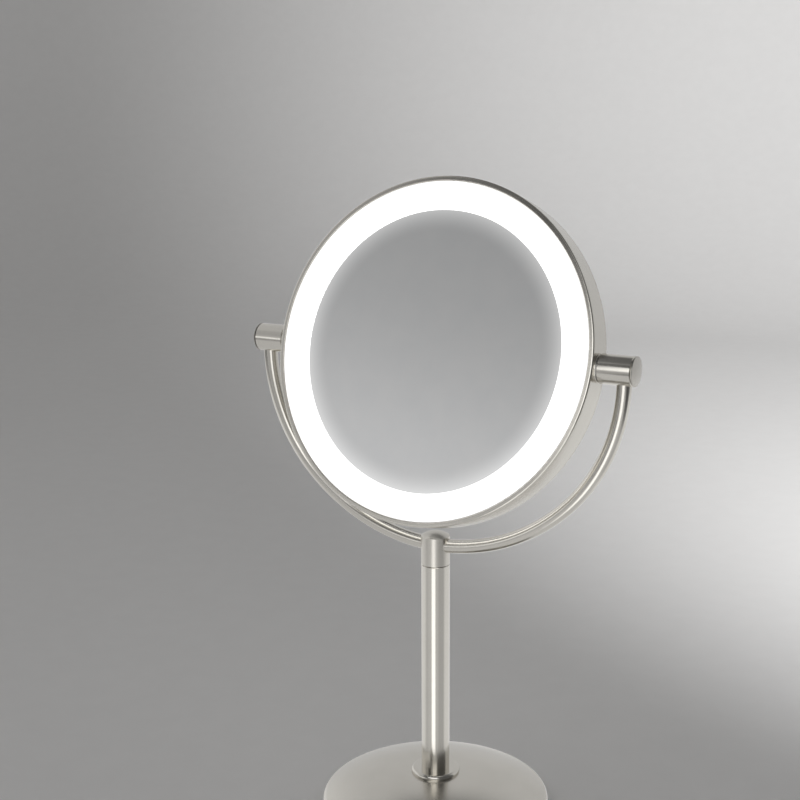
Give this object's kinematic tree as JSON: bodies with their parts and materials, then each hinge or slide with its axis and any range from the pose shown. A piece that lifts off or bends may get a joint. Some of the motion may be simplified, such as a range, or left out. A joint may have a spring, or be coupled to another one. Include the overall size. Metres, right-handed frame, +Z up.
{
  "type": "lighted vanity mirror",
  "caption": "Round two-sided lit mirror that turns over in a tubular half-ring yoke on a slim column with a domed round base.",
  "frame": {"origin": "centre of the base's underside, on the surface it stands on", "axes": "+Z up along the column; the flat mirror faces -Y, leaning back 16 degrees; +X along the head's hinge"},
  "size_m": [0.264, 0.15, 0.4165],
  "materials": {
    "satin_nickel": "fine brushed satin nickel with a warm grey cast",
    "mirror_glass": "silvered glass, polished",
    "opal_diffuser": "opal acrylic, evenly lit from behind",
    "white_plastic": "white moulded plastic",
    "foam_tape": "white foam tape",
    "circuit_board": "white solder mask",
    "led": "small lamp packages with a yellow face",
    "brass": "plain turned brass",
    "nylon": "natural nylon",
    "spring_steel": "bright spring steel",
    "zinc_steel": "zinc plated steel",
    "wire_insulation": "soft insulation",
    "black_plastic": "fine grained black plastic",
    "cast_iron": "rough cast",
    "rubber": "dull black rubber",
    "battery_wrap": "plain dark sleeve"
  },
  "bodies": {
    "stand": {"ballast_ring": "cast_iron", "base_chassis": "black_plastic", "base_cover": "satin_nickel", "base_screws": "zinc_steel", "battery_cells": "battery_wrap", "battery_contacts": "spring_steel", "button_guide": "satin_nickel", "button_spring": "spring_steel", "column_flange": "satin_nickel", "column_hub": "satin_nickel", "column_insert": "zinc_steel", "column_nipple": "zinc_steel", "column_nut": "zinc_steel", "column_tube": "satin_nickel", "column_washer": "zinc_steel", "foot_ring": "rubber", "left_contact_cup": "nylon", "left_contact_plunger": "brass", "left_contact_spring": "spring_steel", "left_end_cap": "satin_nickel", "left_knuckle": "satin_nickel", "left_lead": "wire_insulation", "left_pivot_bush": "nylon", "right_contact_cup": "nylon", "right_contact_plunger": "brass", "right_contact_spring": "spring_steel", "right_end_cap": "satin_nickel", "right_knuckle": "satin_nickel", "right_lead": "wire_insulation", "right_pivot_bush": "nylon", "switch_board": "circuit_board", "tact_switch": "black_plastic", "yoke_tube": "satin_nickel"},
    "mirror_head": {"drum_band": "satin_nickel", "front_bezel": "satin_nickel", "rear_bezel": "satin_nickel", "front_mirror": "mirror_glass", "rear_mirror": "mirror_glass", "front_diffuser": "opal_diffuser", "rear_diffuser": "opal_diffuser", "front_light_housing": "white_plastic", "rear_light_housing": "white_plastic", "front_glass_pad": "foam_tape", "rear_glass_pad": "foam_tape", "led_board": "circuit_board", "front_leds": "led", "rear_leds": "led", "housing_screws": "zinc_steel", "left_pivot_stud": "brass", "right_pivot_stud": "brass", "left_pivot_collar": "satin_nickel", "right_pivot_collar": "satin_nickel", "stud_sleeves": "nylon", "friction_washers": "spring_steel", "stud_nuts": "brass", "stud_terminals": "brass"},
    "power_button": {"power_button": "satin_nickel", "switch_plunger": "nylon"},
    "battery_door": {"battery_door": "black_plastic"}
  },
  "joints": [
    {"name": "head_turn", "type": "hinge", "parent": "stand", "child": "mirror_head", "pos_m": [0, 0, 0.31], "axis": [1, 0, 0], "continuous": true},
    {"name": "power_press", "type": "slide", "parent": "stand", "child": "power_button", "axis": [0, 0.3181, -0.9481], "range_m": [0, 0.0015], "stiffness_N_per_m": 600, "springref_m": -0.001, "deforming": ["button_spring"]},
    {"name": "battery_door_twist", "type": "hinge", "parent": "stand", "child": "battery_door", "pos_m": [0, 0, 0.003], "axis": [0, 0, 1], "range_deg": [0, 30]}
  ]
}
